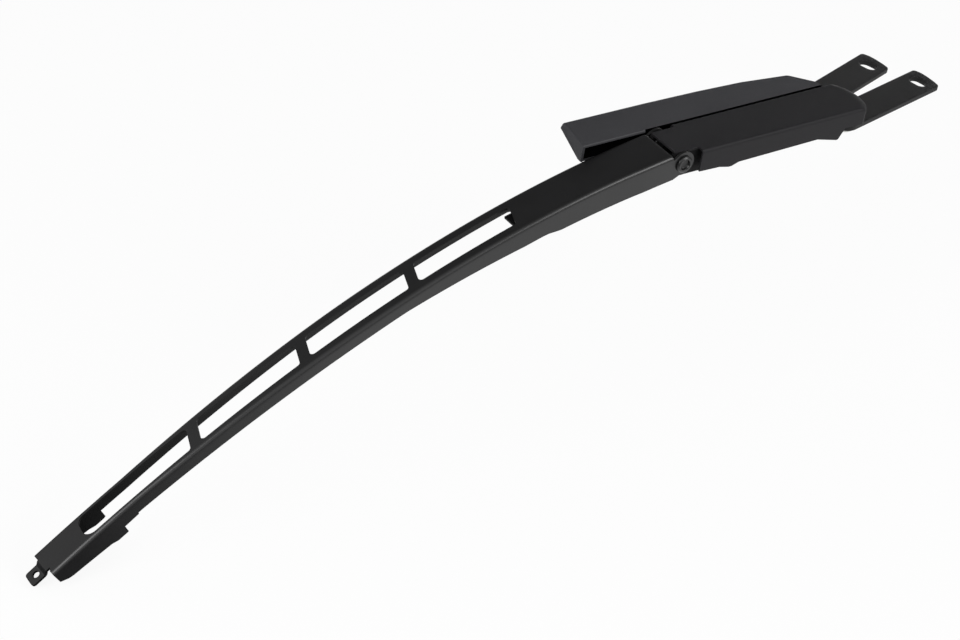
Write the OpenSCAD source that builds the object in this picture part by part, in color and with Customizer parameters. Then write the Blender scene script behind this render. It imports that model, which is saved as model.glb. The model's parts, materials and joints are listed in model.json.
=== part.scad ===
// Linkage wiper arm: an arched, windowed steel channel hinged to a head that two flat
// levers carry. The origin is the centre of the front lever's spindle hole, on the
// lever's seating face. +Z points away from the glass and -X towards the blade.

/* [Arm channel] */
// Reach of the channel in plan, from its hinge end to its blade end
arm_reach = 386.5; // [330:0.5:460]
// Downward slope of the channel at its hinge end, in degrees
arm_slope_hinge = 8.2; // [6:0.2:10]
// Downward slope of the channel at its blade end, in degrees
arm_slope_tip = 37.2; // [28:0.2:40]
// Outer width of the channel at the hinge
arm_width = 28.3; // [26:0.1:32]
// Outer width of the channel halfway along
arm_width_mid = 26.3; // [24:0.1:27]
// Outer width of the channel at the blade holder
arm_width_tip = 20.2; // [18.6:0.1:23]
// Steel sheet thickness of the channel
arm_sheet = 1.6; // [1.2:0.1:2]
// Outer radius of the bends between the top and the side flanges
arm_bend_r = 2.8; // [2.2:0.1:3.4]
// Depth of the side flanges at the hinge
flange_depth = 16.3; // [15:0.1:18]
// Depth of the side flanges beside the windows
flange_depth_slim = 8.7; // [7:0.1:10]

/* [Windows] */
// Width of the windows
window_width = 14.1; // [11:0.1:14.4]
// Corner radius of the windows
window_corner_r = 2; // [1:0.1:3]
// Lean of the window ends against a square cut, in degrees
window_slant = 19; // [10:1:24]
// Distance in plan from the hinge end to the first window
window_start = 100.8; // [100:0.2:106]
// Number of windows
window_count = 4; // [2:1:5]
// How much longer each window is than the next one
window_fall = 1.6; // [0:0.1:2]
// How much longer the last window is than the others on average
window_last = 1.7; // [0:0.1:4]
// Distance in plan from the last window to the blade end
window_tip = 22.8; // [18:0.2:30]
// Width of the webs between the windows, along the channel
web_width = 7.1; // [6.6:0.1:9]

/* [Blade holder] */
// Length of the deepened flanges of the holder, in plan
holder_length = 46.5; // [44:0.5:50]
// Distance in plan from the blade end to the hooks on the cheeks
hook_back = 38; // [34:0.5:41]
// Depth of the holder's cheeks at the hooks
holder_depth = 15.3; // [14:0.1:17]
// Length of the end tongue
tongue_length = 10.8; // [8:0.1:12]
// Width of the end tongue
tongue_width = 9.4; // [8:0.1:11]
// Drop of the tongue below the holder's top
tongue_drop = 2; // [1.8:0.1:3]
// Radius of the hole in the tongue
tongue_hole_r = 2.1; // [1.6:0.05:2.6]

/* [Hinge] */
// Radius of the arm's ears
ear_r = 7.6; // [7.2:0.1:7.8]
// Shank radius of the hinge rivets
rivet_r = 3; // [2.6:0.05:3.2]
// Head radius of the hinge rivets
rivet_head_r = 5.3; // [5:0.1:5.3]
// Height of the hinge rivets' heads
rivet_head_h = 1.9; // [1.5:0.1:2.2]
// Sleeve thickness of the hinge bushes
bush_wall = 0.9; // [0.7:0.05:1.1]

/* [Head] */
// Steel thickness of the head frame
frame_sheet = 3; // [2.6:0.1:3.2]
// Distance from the hinge axis to the covers' top face
cover_top = 7; // [6.8:0.1:7.4]
// Wall thickness of the front cover
cover_wall = 1.2; // [1:0.05:1.4]
// Distance from the hinge axis to the front cover's right-hand end
cover_length = 145.2; // [144:0.2:150]
// How far the front cover's near face stands out beyond the arm's side
cover_overhang = 1.85; // [1.6:0.05:2.8]
// Gap in plan between the arm's far side and the joint between the covers
cover_joint = 0.85; // [0.6:0.05:1.2]
// Depth of the front cover's side wall
cover_depth = 14.2; // [13:0.1:15]
// Depth of the locating lugs below the side wall
cover_lug = 2.2; // [1.5:0.1:3]
// Drop of the rounded edge round the front cover's top
cover_edge_drop = 2.4; // [1.6:0.1:3]
// Width of the rounded edge along the front cover's side
cover_edge_side = 1.8; // [1:0.1:2.4]
// Width of the rounded edge at the front cover's end
cover_edge_end = 5.5; // [3:0.1:7]

/* [Back cover] */
// Reach of the back cover beyond the hinge axis, over the arm
back_reach = 52; // [45:0.5:60]
// Width of the back cover at its closed end
back_width = 26; // [24:0.1:28]
// Width of the back cover at its slanted end
back_width_end = 18.8; // [17:0.1:20]
// Wall thickness of the back cover
back_wall = 1.6; // [1.4:0.1:2.4]
// Depth of the back cover along its near edge
back_depth = 11; // [10.4:0.1:11]
// Depth of the back cover along its far edge
back_depth_far = 3.6; // [3:0.1:8]
// Slope of the back cover's closed end, as its run over its full depth
back_end_run = 5.2; // [3:0.1:7]

/* [Levers] */
// Distance between the axes of the front lever's pivot and spindle hole
lever_length = 76.9; // [64:0.1:90]
// Distance between the axes of the rear lever's pivot and spindle hole
rear_lever_length = 77.2; // [64:0.1:90]
// Width of the levers
lever_width = 21.4; // [20:0.1:22]
// Steel thickness of the levers
lever_t = 3.2; // [2.8:0.1:3.6]
// Angle of the front lever from the head's long axis, in degrees
front_lever_angle = 11.1; // [10:0.1:14]
// Angle of the rear lever from the head's long axis, in degrees
rear_lever_angle = 16.6; // [16:0.1:20]
// Distance from a spindle hole's centre to the lever's end
lever_end = 9.5; // [8:0.1:12]
// Length of the spindle holes, across the lever
spindle_hole_length = 11.6; // [9:0.1:12]
// Width of the spindle holes, between their flats
spindle_hole_width = 8; // [6:0.1:8.4]

/* [Lever pivots] */
// Distance from the front cover's end back to the front pivot
front_pivot_inset = 13.15; // [12.6:0.05:15]
// Distance of the front pivot from the arm's centre line, towards the near side
front_pivot_side = 5.1; // [4.6:0.1:5.4]
// Lengthwise distance between the two pivots
pivot_step = 15.6; // [14:0.1:17]
// Sideways distance between the two pivots
pivot_spread = 20.6; // [20:0.1:22]
// Radius of the pivot shoulder
pivot_r = 5; // [4.4:0.05:5.4]
// Wall thickness of the pivot bushes
pivot_bush_wall = 1.2; // [0.9:0.05:1.4]
// Radius of the pivot's lower head
pivot_head_r = 8.4; // [7.8:0.1:9]
// Height of the pivot's lower head
pivot_head_h = 2; // [1.6:0.1:2.4]
// Thickness of the thrust washers
washer_t = 0.4; // [0.3:0.05:0.5]

/* [Spring] */
// Outside diameter of the tension spring
spring_d = 10.6; // [10:0.1:11]
// Wire diameter of the tension spring
spring_wire = 2; // [1.8:0.1:2.2]
// Number of turns in the tension spring
spring_turns = 21; // [16:1:23]
// Radius of the pin in the head that holds the spring link
spring_pin_r = 2; // [1.8:0.05:2.2]
// Wire radius of the spring link
link_wire_r = 1.5; // [1.2:0.05:1.6]

/* [Fits] */
// Radial clearance of everything that turns
run_fit = 0.05; // [0.02:0.01:0.08]
// Gap between faces that slide past each other
face_gap = 0.1; // [0.06:0.01:0.2]
// Gap between covers and what moves beneath them
cover_gap = 0.3; // [0.2:0.05:0.4]

/* [Hidden] */
$fn = 64;
eps = 0.01;
big = 60;

black_steel = [0.13, 0.13, 0.14];
black_cover = [0.2, 0.2, 0.21];
zinc = [0.72, 0.72, 0.7];
brass = [0.78, 0.62, 0.35];

// Levels in the head, measured from the hinge axis. The levers hang below the head
// frame, and the covers end just above them.
lever_top = cover_top - back_depth - cover_gap - face_gap;
lever_bottom = lever_top - lever_t;
base_bottom = lever_top + face_gap + washer_t;
base_top = base_bottom + frame_sheet;
hinge_height = -lever_bottom;

// Places in the plan, measured from the hinge axis and the arm's centre line
front_pivot = [cover_length - front_pivot_inset, -front_pivot_side];
rear_pivot = front_pivot + [-pivot_step, pivot_spread];
front_hole = front_pivot + lever_length * [cos(front_lever_angle), sin(front_lever_angle)];

// Hinge: ears of the arm outside, cheeks of the head frame inside, bush flanges between
ear_inner = arm_width / 2 - arm_sheet;
bush_flange = 0.6;
cheek_outer = ear_inner - bush_flange - face_gap;
cheek_inner = cheek_outer - frame_sheet;
bush_r = rivet_r + run_fit + bush_wall;
top_end_x = -8;
top_end_z = 6.5;
cover_start = top_end_x + 2.8;
notch_end = 12;
cheek_low = -ear_r - 1.8;
cover_near = arm_width / 2 + cover_overhang;
cover_far = arm_width / 2 + cover_joint;

// Spring line, from its pin in the head to the anchor in the arm
spring_pin_x = 0;
spring_pin_z = -6.4;
anchor_u = 93.5;
anchor_drop = 5.8;

// The arch: u is the distance in plan from the hinge end, and the slope grows evenly
function slope(u) = mix(tan(arm_slope_hinge), tan(arm_slope_tip), u / arm_reach);
function pitch(u) = atan(slope(u));
function arch_x(u) = top_end_x - u;
function arch_z(u) = top_end_z - u * (tan(arm_slope_hinge) + slope(u)) / 2;
// Point at the distance down below the channel's top face, square to it
function arch_point(u, y, down) =
    [arch_x(u) + down * sin(pitch(u)), y, arch_z(u) - down * cos(pitch(u))];

function ramp(v, a, b) = min(1, max(0, (v - a) / (b - a)));
function smooth(t) = t * t * (3 - 2 * t);
function mix(a, b, t) = a + (b - a) * t;

holder_start = arm_reach - holder_length - 11.5;
// The width falls gently to the middle and faster to the holder, which is parallel
function channel_width(u) =
    u < 24 ? arm_width :
    u < arm_reach / 2 ? mix(arm_width, arm_width_mid, sqrt(ramp(u, 24, arm_reach / 2))) :
    mix(arm_width_mid, arm_width_tip, pow(ramp(u, arm_reach / 2, holder_start + 8), 1.5));
// The near flange steps in below the solid part and then thins out along the first
// window. The far flange is slim along all the windows.
kink_u = 79;
holder_full = holder_depth + 2;
function body_depth(u) = mix(flange_depth, flange_depth - 1.2, ramp(u, 20, kink_u));
function near_depth(u) = let (
        step = mix(body_depth(u), 13.1, ramp(u, kink_u, kink_u + 9)),
        slim = mix(step, flange_depth_slim, ramp(u, kink_u + 24, kink_u + 100)))
    mix(slim, holder_full, ramp(u, holder_start - 8, holder_start));
function far_depth(u) = mix(
    mix(body_depth(u), flange_depth_slim, ramp(u, kink_u, window_start - 4)),
    holder_full, ramp(u, holder_start - 8, holder_start));

// One side of a cross-section, from the flange's edge up and round the bend to the top
bend_steps = 4;
function side_outline(half, depth, inset) = let (r = arm_bend_r - inset, c = half - arm_bend_r)
    concat([[half - inset, depth]],
        [for (i = [0:bend_steps]) let (a = 90 * i / bend_steps)
            [c + r * cos(a), arm_bend_r - r * sin(a)]]);
function flip(points) = [for (i = [len(points) - 1:-1:0]) [-points[i][0], points[i][1]]];
function section(u) = let (
        half = channel_width(u) / 2,
        far = far_depth(u),
        near = near_depth(u),
        far_out = side_outline(half, far, 0),
        far_in = side_outline(half, far, arm_sheet),
        near_out = flip(side_outline(half, near, 0)),
        near_in = flip(side_outline(half, near, arm_sheet)))
    concat(far_out, near_out, far_in, near_in);

// Closed skin of the channel: rings of the cross-section, joined side by side
module channel_shell() {
    step = 8;
    rings = [for (u = [0:step:arm_reach - step / 2]) u, arm_reach];
    outer = 2 * (bend_steps + 2);
    n = 2 * outer;
    points = [for (u = rings) let (sec = section(u))
        for (k = [0:n - 1]) let (i = k < outer ? k : outer + n - 1 - k)
            arch_point(u, sec[i][0], sec[i][1])];
    sides = [for (j = [0:len(rings) - 2]) for (k = [0:n - 1]) let (
            a = j * n + k, b = j * n + (k + 1) % n)
        each [[a, b, a + n], [b, b + n, a + n]]];
    // The ends are strips of quads between the outer and the inner outline
    function strip(base, turn) = [for (k = [0:outer - 2]) let (
            a = base + k, b = base + k + 1, c = base + n - 2 - k, d = base + n - 1 - k)
        each (turn ? [[c, b, a], [d, c, a]] : [[a, b, c], [a, c, d]])];
    polyhedron(points, concat(sides, strip(0, true), strip(n * (len(rings) - 1), false)));
}

// Carries children onto the arch at u: x runs to the hinge along the sheet
module on_arch(u, down = 0) {
    translate(arch_point(u, 0, down)) rotate([0, -pitch(u), 0]) children();
}

// Points of a polygon with every corner rounded to r
function unit(v) = v / norm(v);
function rounded(points, r, steps = 4) = let (n = len(points)) [
    for (i = [0:n - 1]) let (
        p = points[i],
        u = unit(points[(i + n - 1) % n] - p),
        v = unit(points[(i + 1) % n] - p),
        half = acos(u * v) / 2,
        radius = is_list(r) ? r[i] : r,
        reach = radius / tan(half),
        c = p + unit(u + v) * radius / sin(half),
        a0 = atan2((p + u * reach - c)[1], (p + u * reach - c)[0]),
        a1 = atan2((p + v * reach - c)[1], (p + v * reach - c)[0]),
        turn = ((a1 - a0 + 540) % 360) - 180)
    for (k = [0:steps]) c + radius * [cos(a0 + turn * k / steps), sin(a0 + turn * k / steps)]];

// Start and length of each window in plan. The last one ends at window_tip.
web_plan = web_width * cos(pitch(arm_reach * 0.6));
window_mean = (arm_reach - window_tip - window_start + web_plan - window_last) / window_count - web_plan;
function window_length(i) = i == window_count - 1
    ? arm_reach - window_tip - window_from(i)
    : window_mean + window_fall * ((window_count - 2) / 2 - i);
function window_from(i) = i == 0 ? window_start :
    let (end = window_from(i - 1) + window_length(i - 1)) end + web_width * cos(pitch(end));

// A leaning window, cut straight down through the top. The last one has a rounded end.
module window_cut(u, length, last) {
    half = window_width / 2;
    lean = half * tan(window_slant);
    a = arch_x(u);
    b = arch_x(u + length);
    outline = last
        ? [[a + lean, half], [b + 1, half], [b - 1, -half], [a - lean, -half]]
        : [[a + lean, half], [b + lean, half], [b - lean, -half], [a - lean, -half]];
    radii = last ? [window_corner_r, 4, 5, window_corner_r] : window_corner_r;
    translate([0, 0, arch_z(u + length / 2) - big / 2]) linear_extrude(big)
        polygon(rounded(outline, radii));
}

// Side profile that is taken off below the holder's cheeks: a shallow step on the near
// side, a hook at the rear and a chamfer at the front. Its points are [distance from the
// end, depth]. The far cheek's hook starts later.
module holder_trim(far) {
    d = holder_depth;
    h = far ? hook_back - 3.6 : hook_back;
    start = far ? h : holder_length;
    lower = [for (back = [holder_length + 22.5:-4:start + 1]) [back, flange_depth_slim + 0.1]];
    step = far
        ? [[h + 0.2, flange_depth_slim + 0.1], [h + 0.1, d - 0.6]]
        : [[holder_length, flange_depth_slim + 1.1], [h - 0.3, flange_depth_slim + 1.5],
            [h + 0.4, d - 2.2], [h, d - 0.2]];
    front = [[h - 1, d], [h - 6, d], [h - 9.3, d - 1.3], [5.7, d - 3.6], [0.2, d - 7.5],
        [-8, d - 7.5]];
    edge = [for (q = concat(lower, step, front))
        let (p = arch_point(arm_reach - q[0], 0, q[1])) [p[0], p[2]]];
    low = arch_z(arm_reach) - big;
    side_plate(far ? 0 : -big / 2, far ? big / 2 : 0)
        polygon(concat(edge, [[edge[len(edge) - 1][0], low], [edge[0][0], low]]));
}

// Front edge of the holder, set back on the near side with a notch beside the tongue
module holder_front() {
    t = tongue_width / 2;
    on_arch(arm_reach) translate([0, 0, -big / 2]) linear_extrude(big) {
        polygon([[1.6, -big], [1.6, -t - 2.2], [3, -t], [-big / 2, -t], [-big / 2, -big]]);
        polygon([[0.4, big], [0.4, t], [-big / 2, t], [-big / 2, big]]);
    }
}

// Distance of the hole from the tongue's end
tongue_eye = 5.6;

// The end tongue steps down from the top sheet and carries the hole for the blade
module tongue() {
    t = arm_sheet;
    root = 5;
    fold = 2.4;
    profile = [[root, -0.2], [root, 0.2 - t], [1, 0.2 - t], [-fold, -t - tongue_drop],
        [-tongue_length, -t - tongue_drop], [-tongue_length, -tongue_drop],
        [-fold + 0.5, -tongue_drop], [0.5, -0.2]];
    w = tongue_width / 2;
    plan = rounded([[root, w], [-tongue_length + 0.6, w], [-tongue_length, -w], [root, -w]],
        [0.5, 1.9, 1.9, 0.5]);
    on_arch(arm_reach) intersection() {
        side_plate(-big / 2, big / 2) polygon(profile);
        translate([0, 0, -big / 2]) linear_extrude(big) polygon(plan);
    }
}

module along_y(from, to) {
    translate([0, from, 0]) rotate([-90, 0, 0]) linear_extrude(to - from) children();
}
// Draws children in the x-z plane and gives them thickness in y
module side_plate(from, to) {
    translate([0, to, 0]) rotate([90, 0, 0]) linear_extrude(to - from) children();
}

module ear_outline() {
    union() {
        circle(ear_r);
        polygon([[-14, 2], [-7.8, 3.3], [-5.3, 5.3], [0, 0], [-1.4, -7.4], [-5.9, cheek_low],
            [-14, cheek_low]]);
    }
}

module arm_ear(side) {
    inner = ear_inner;
    outer = arm_width / 2;
    from = side > 0 ? inner : -outer;
    difference() {
        side_plate(from, from + arm_sheet) ear_outline();
        side_plate(from - 1, from + arm_sheet + 1) circle(bush_r);
    }
}

module arm_channel() {
    color(black_steel) at_hinge() difference() {
        union() {
            difference() {
                channel_shell();
                for (i = [0:window_count - 1])
                    window_cut(window_from(i), window_length(i), i == window_count - 1);
                holder_trim(false);
                holder_trim(true);
                holder_front();
            }
            arm_ear(1);
            arm_ear(-1);
            tongue();
        }
        on_arch(arm_reach) translate([-tongue_length + tongue_eye, 0, -big / 2])
            cylinder(h = big, r = tongue_hole_r);
    }
}

// Places what is measured from the hinge axis and the arm's centre line
module at_hinge() {
    translate([-front_hole[0], -front_hole[1], hinge_height]) children();
}

// The frame: a base plate under both pivots, with upright flanges that end in the
// hinge cheeks and a nose that the arm comes down on
base_start = 17;
module base_outline() {
    n = cover_near - cover_wall - 0.6;
    e = cover_length - cover_wall - 3;
    polygon(rounded([[base_start, -cheek_outer], [base_start + 6, -cheek_outer],
        [base_start + 10, -n], [e - 5, -n], [e, -n + 8], [e, 6], [rear_pivot[0] + 11.5, rear_pivot[1] - 1],
        [rear_pivot[0] + 9, rear_pivot[1] + 5], [rear_pivot[0] + 5, rear_pivot[1] + 9.5],
        [rear_pivot[0] - 9, rear_pivot[1] + 9.5], [rear_pivot[0] - 24, cheek_outer],
        [base_start, cheek_outer]], [1, 3, 3, 5, 5, 6, 2, 2, 2, 5, 8, 1]));
}

module cheek_outline() {
    under = top_end_z - arm_sheet / cos(arm_slope_hinge) - 0.25;
    flange_top = cover_top - cover_wall;
    flange_end = front_pivot[0] - 44;
    polygon(rounded([[-13, under - 5 * tan(arm_slope_hinge)], [-8, under], [-6, under], [-4.4, flange_top],
        [flange_end, flange_top], [flange_end + 10, base_top + 0.6], [flange_end + 10, base_bottom],
        [base_start + 7, base_bottom], [base_start, cheek_low], [-2.6, cheek_low], [-7.5, -5]],
        [0.8, 0.1, 0.3, 0.3, 6, 0.5, 0.3, 3, 3, 3, 3]));
}

// Web between the cheeks, joggled down from the base below the spring pin
module cheek_web() {
    t = frame_sheet - 0.4;
    side_plate(-cheek_outer, cheek_outer)
        polygon(rounded([[6.5, cheek_low], [base_start, cheek_low], [base_start + 7, base_bottom],
            [base_start + 16, base_bottom], [base_start + 16, base_top], [base_start + 5.5, base_top],
            [base_start - 1.5, cheek_low + t], [6.5, cheek_low + t]], [0.3, 3, 3, 0.3, 0.3, 3, 3, 0.3]));
}

module head_frame() {
    color(black_steel) at_hinge() difference() {
        union() {
            translate([0, 0, base_bottom]) linear_extrude(frame_sheet) base_outline();
            side_plate(cheek_inner, cheek_outer) cheek_outline();
            side_plate(-cheek_outer, -cheek_inner) cheek_outline();
            cheek_web();
        }
        along_y(-big, big) circle(rivet_r);
        along_y(-big, big) translate([spring_pin_x, -spring_pin_z]) circle(spring_pin_r);
        for (p = [front_pivot, rear_pivot])
            translate([p[0], p[1], base_bottom - 1]) cylinder(h = frame_sheet + 2, r = pivot_r - 1.2);
        // Lightening hole between the hinge and the pivots
        translate([0, 0, base_bottom - 1]) linear_extrude(frame_sheet + 2)
            polygon(rounded([[40, -5], [front_pivot[0] - 42, -5], [front_pivot[0] - 42, 5], [40, 5]], 4));
    }
}

// Plan of the front cover, set in from its side, its bowed end and its far edge
function front_plan(side, end, far_in) = let (
        x1 = cover_length - end,
        near = -cover_near + side,
        far = cover_far - far_in)
    rounded([[notch_end, far], [notch_end, near], [x1 - 6.4, near], [x1 - 1.6, near + 5.2], [x1, near + 14],
        [x1 - 1.4, far - 7], [x1 - 5.6, far]], [0.2, 0.2, 2.2, 12, 14, 7, 3.5]);

// Outer form of the front cover: upright below, with an elliptical edge round the top
edge_steps = 5;
module front_form() {
    low = cover_top - cover_depth - cover_lug - 4;
    hull() {
        translate([0, 0, low]) linear_extrude(0.1) polygon(front_plan(0, 0, 0));
        for (k = [0:edge_steps]) let (t = 90 * k / edge_steps, in = 1 - cos(t))
            translate([0, 0, cover_top - cover_edge_drop * (1 - sin(t)) - 0.02]) linear_extrude(0.02)
                polygon(front_plan(cover_edge_side * in, cover_edge_end * in, 0.7 * in));
    }
}

// Lower edge of the side wall: two lugs, and a cut-out over the front lever's edge
function wall_edge() = let (b = cover_top - cover_depth, l = cover_lug, p = front_pivot[0])
    [[notch_end, b], [25, b - 0.5], [27, b - 0.5], [34.5, b - l], [37, b - l], [42, b - 0.5],
    [p - 29, b + 0.3], [p - 13, b - l - 1.6], [p - 11.6, b - l - 1.4], [p - 7.6, lever_top + cover_gap],
    [cover_length + 1, lever_top + cover_gap], [cover_length + 1, big], [notch_end, big]];

module front_cover() {
    top_in = cover_top - cover_wall;
    far_edge = cover_top - 4.2;
    strip = cheek_outer - 0.1;
    color(black_cover) at_hinge() difference() {
        union() {
            intersection() {
                front_form();
                side_plate(-big, big) polygon(wall_edge());
            }
            // Strip of the top face that runs forward between the ears
            translate([0, 0, top_in]) linear_extrude(cover_wall)
                polygon(rounded([[cover_start, -strip], [notch_end + 1, -strip],
                    [notch_end + 1, strip], [cover_start, strip]], 0.4));
        }
        translate([0, 0, top_in - big]) linear_extrude(big)
            polygon(front_plan(cover_wall, cover_wall + 1, cover_wall));
        // Open end towards the hinge
        translate([notch_end - 1, -cover_near + cover_wall, top_in - big])
            cube([4, cover_near + cover_far - 2 * cover_wall, big]);
        // The far wall is a short flange along the joint between the covers
        translate([notch_end - 1, cover_far - cover_wall - 1, far_edge - big])
            cube([cover_length - notch_end - 4, 8, big]);
    }
}

// Plan of the back cover, set in from its near edge, its far edge and its ends
back_end_x = cover_length - 14.7;
function back_plan(near_in, far_in, end_in) = let (
        near = cover_far + near_in,
        far = cover_far + back_width - far_in,
        far_end = cover_far + back_width_end - far_in,
        x0 = -back_reach,
        x1 = back_end_x - end_in)
    rounded([[x0, near], [x1, near], [x1 - 0.8, cover_far + 5.4], [rear_pivot[0] + 0.6, far_end],
        [rear_pivot[0] * 0.72, mix(far, far_end, 0.4)], [rear_pivot[0] * 0.43, mix(far, far_end, 0.17)],
        [rear_pivot[0] * 0.1, mix(far, far_end, 0.05)], [x0, far]],
        [0.05, 0.4, 3, 4, 40, 60, 80, 2]);

// Outer form: rounded along its top edges, cut off below by a plane that rises to the
// far edge, and closed by a sloping end over the arm
module back_form() {
    bottom = cover_top - back_depth;
    near = cover_far;
    far = near + back_width;
    intersection() {
        hull() {
            translate([0, 0, bottom]) linear_extrude(0.1) polygon(back_plan(0, 0, 0));
            for (k = [0:edge_steps - 1]) let (t = 90 * k / (edge_steps - 1), in = 1 - cos(t))
                translate([0, 0, cover_top - 1.6 * (1 - sin(t)) - 0.02]) linear_extrude(0.02)
                    polygon(back_plan(0.9 * in, 1.4 * in, 1.4 * in));
        }
        side_plate(0, big) polygon(rounded([[-back_reach + back_end_run, cover_top],
            [-back_reach, bottom], [back_end_x + 1, bottom], [back_end_x + 1, cover_top]],
            [1.2, 0.5, 0.1, 0.1]));
        translate([-big * 2, 0, 0]) rotate([90, 0, 90]) linear_extrude(big * 5)
            polygon([[near - 1, bottom], [near + 1, bottom], [far, cover_top - back_depth_far],
                [far + 1, cover_top - back_depth_far], [far + 1, cover_top], [near - 1, cover_top]]);
    }
}

// The hollow inside, open along the near edge. It has a floor as far as the rear lever.
module back_hollow() {
    bottom = cover_top - back_depth;
    top_in = cover_top - back_wall;
    near = cover_far;
    far = near + back_width;
    floor_end = rear_pivot[0] - 30;
    rise = (back_depth - back_depth_far) / (back_width - 1);
    module inside(x0, x1) {
        intersection() {
            translate([0, 0, bottom - 1]) linear_extrude(top_in - bottom + 1) intersection() {
                polygon(back_plan(-3, back_wall, back_wall));
                translate([x0, near - 2]) square([x1 - x0, back_width + 2]);
            }
            children();
        }
    }
    slope_at = -back_reach + back_end_run + 1.8;
    inside(slope_at, back_end_x) translate([-big * 2, 0, 0]) rotate([90, 0, 90]) linear_extrude(big * 5)
        polygon([[near + 2.2, bottom + 1.2 * rise + back_wall],
            [far + 1, bottom + back_width * rise + back_wall], [far + 1, cover_top],
            [near - 2, cover_top], [near - 2, bottom - 1], [near + 2.2, bottom - 1]]);
    inside(floor_end, back_end_x) translate([floor_end, near - 2, bottom - 1])
        cube([big * 2, back_width + 4, back_depth + 1]);
}

// Clip under the front cover's flange
module side_hook(x) {
    near = cover_far;
    flange_low = cover_top - 4.2;
    top_in = cover_top - back_wall;
    translate([x, 0, 0]) rotate([90, 0, 90]) linear_extrude(8)
        polygon([[near, top_in + eps], [near, flange_low], [near - cover_wall, flange_low],
            [near - cover_wall - 0.5, flange_low - 1.3], [near + 1.4, flange_low - 1.3],
            [near + 1.4, top_in + eps]]);
}

module back_cover() {
    top_in = cover_top - back_wall;
    color(black_cover) at_hinge() {
        difference() {
            back_form();
            back_hollow();
        }
        // Ribs across the shell
        for (part = [-0.3, -0.12, 0.3, 0.5, 0.68])
            translate([rear_pivot[0] * part, cover_far + 5, top_in - 3])
                cube([1.4, back_width_end - 8, 3 + eps]);
        for (part = [0.19, 0.6, 0.8]) side_hook(rear_pivot[0] * part);
        // Posts that stand on the head frame
        for (p = [[-10.4, 4.5, 2.2], [4.8, 6.3, 1.5]])
            translate([rear_pivot[0] + p[0], rear_pivot[1] + p[1], base_top])
                cylinder(h = top_in - base_top + eps, r = p[2]);
    }
}

// Plan of a lever: rounded at the pivot, and past the spindle hole a skewed, slightly
// bowed end. The pivot is at the origin and the lever runs along +x.
module lever_plan(length) {
    w = lever_width / 2;
    l = length + lever_end;
    union() {
        circle(w);
        polygon(rounded([[-5, -w], [l - 1.8, -w], [l - 0.2, -w + 5], [l + 1.1, 1], [l + 1.4, w - 5],
            [l + 0.4, w], [-5, w]], [2.2, 2.4, 6, 20, 8, 2.4, 2.2]));
    }
}

// Hole with two flats for a spindle, its length across the lever
module spindle_hole(length) {
    r = spindle_hole_width / 2;
    half = spindle_hole_length / 2 - r;
    union() {
        for (side = [-1, 1]) translate([length, side * half]) circle(r);
        translate([length - r, -half]) square([2 * r, 2 * half]);
    }
}

module lever(pivot, angle, length) {
    translate([pivot[0], pivot[1], lever_bottom]) rotate([0, 0, angle]) difference() {
        linear_extrude(lever_t) lever_plan(length);
        translate([0, 0, -1]) linear_extrude(lever_t + 2) spindle_hole(length);
        translate([0, 0, -1]) cylinder(h = lever_t + 2, r = pivot_r + run_fit + pivot_bush_wall);
    }
}
module front_lever() { color(black_steel) at_hinge() lever(front_pivot, front_lever_angle, lever_length); }
module rear_lever() { color(black_steel) at_hinge() lever(rear_pivot, rear_lever_angle, rear_lever_length); }

// Shouldered rivet: head and washer below the lever, closed over above the frame
module pivot_pin(pivot) {
    low = lever_bottom - face_gap - washer_t;
    neck = pivot_r - 1.2;
    translate([pivot[0], pivot[1], 0]) rotate_extrude()
        polygon([[0, low - pivot_head_h], [pivot_head_r - 0.8, low - pivot_head_h],
            [pivot_head_r, low - pivot_head_h + 0.8], [pivot_head_r, low], [pivot_r, low],
            [pivot_r, base_bottom], [neck, base_bottom], [neck, base_top],
            [neck + 1.9, base_top], [neck + 1.7, base_top + 0.7], [neck + 0.6, base_top + 1.5],
            [1.6, base_top + 1.6], [1, base_top + 0.9], [0, base_top + 0.8]]);
}
module front_pivot_pin() { color(zinc) at_hinge() pivot_pin(front_pivot); }
module rear_pivot_pin() { color(zinc) at_hinge() pivot_pin(rear_pivot); }

module ring(inner, outer, height) {
    rotate_extrude() translate([inner, 0]) square([outer - inner, height]);
}
module pivot_bush(pivot) {
    translate([pivot[0], pivot[1], lever_bottom])
        ring(pivot_r + run_fit, pivot_r + run_fit + pivot_bush_wall, lever_t);
}
module front_pivot_bush() { color(brass) at_hinge() pivot_bush(front_pivot); }
module rear_pivot_bush() { color(brass) at_hinge() pivot_bush(rear_pivot); }

module washer(pivot, z) {
    translate([pivot[0], pivot[1], z]) ring(pivot_r, pivot_head_r - 0.3, washer_t);
}
lower_washer_z = lever_bottom - face_gap - washer_t;
upper_washer_z = base_bottom - washer_t;
module front_upper_washer() { color(zinc) at_hinge() washer(front_pivot, upper_washer_z); }
module rear_upper_washer() { color(zinc) at_hinge() washer(rear_pivot, upper_washer_z); }
module front_lower_washer() { color(zinc) at_hinge() washer(front_pivot, lower_washer_z); }
module rear_lower_washer() { color(zinc) at_hinge() washer(rear_pivot, lower_washer_z); }

// Short rivet through one ear and its cheek, drawn pointing along +y from the cheek's
// inner face, with a dimple in its outer head
module hinge_rivet() {
    y0 = cheek_inner;
    y1 = arm_width / 2 + face_gap;
    rotate([-90, 0, 0]) rotate_extrude()
        polygon([[0, y0 - 1], [rivet_r + 0.7, y0 - 1], [rivet_r + 1.1, y0 - 0.5], [rivet_r + 1.1, y0],
            [rivet_r, y0], [rivet_r, y1], [rivet_head_r, y1], [rivet_head_r, y1 + rivet_head_h - 0.9],
            [rivet_head_r - 0.9, y1 + rivet_head_h], [3, y1 + rivet_head_h], [2.2, y1 + 0.6], [0, y1 + 0.3]]);
}
module far_hinge_rivet() { color(zinc) at_hinge() hinge_rivet(); }
module near_hinge_rivet() { color(zinc) at_hinge() mirror([0, 1, 0]) hinge_rivet(); }

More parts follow.
